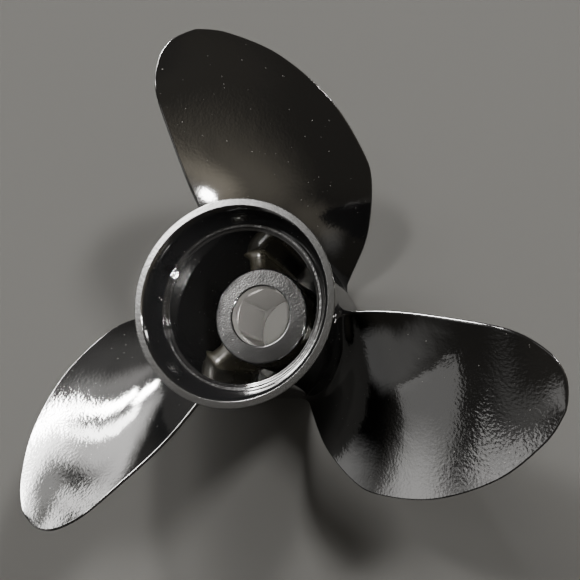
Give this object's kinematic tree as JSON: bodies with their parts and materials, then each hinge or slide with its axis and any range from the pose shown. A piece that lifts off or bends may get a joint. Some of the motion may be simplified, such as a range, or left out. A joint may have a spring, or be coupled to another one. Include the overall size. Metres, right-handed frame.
{
  "type": "outboard propeller",
  "caption": "Right-hand outboard propeller: raked blades on a flared through-hub exhaust barrel, with ribs to an inner hub that has an open six-sided drive socket",
  "frame": {"origin": "on the shaft axis, in the plane of the barrel's front end, which is the face towards the gearcase", "axes": "+Z runs aft along the shaft axis, away from the gearcase; blade_1's tip lies just beside +Y; +X completes the right-handed frame"},
  "size_m": [0.297, 0.2721, 0.126],
  "materials": {
    "enamel": "gloss black enamel with a light orange-peel texture, over cast aluminium"
  },
  "bodies": {
    "root": {"outer_barrel": "enamel", "inner_hub": "enamel", "rib_1": "enamel", "rib_2": "enamel", "rib_3": "enamel", "blade_1": "enamel", "blade_2": "enamel", "blade_3": "enamel"}
  },
  "joints": []
}
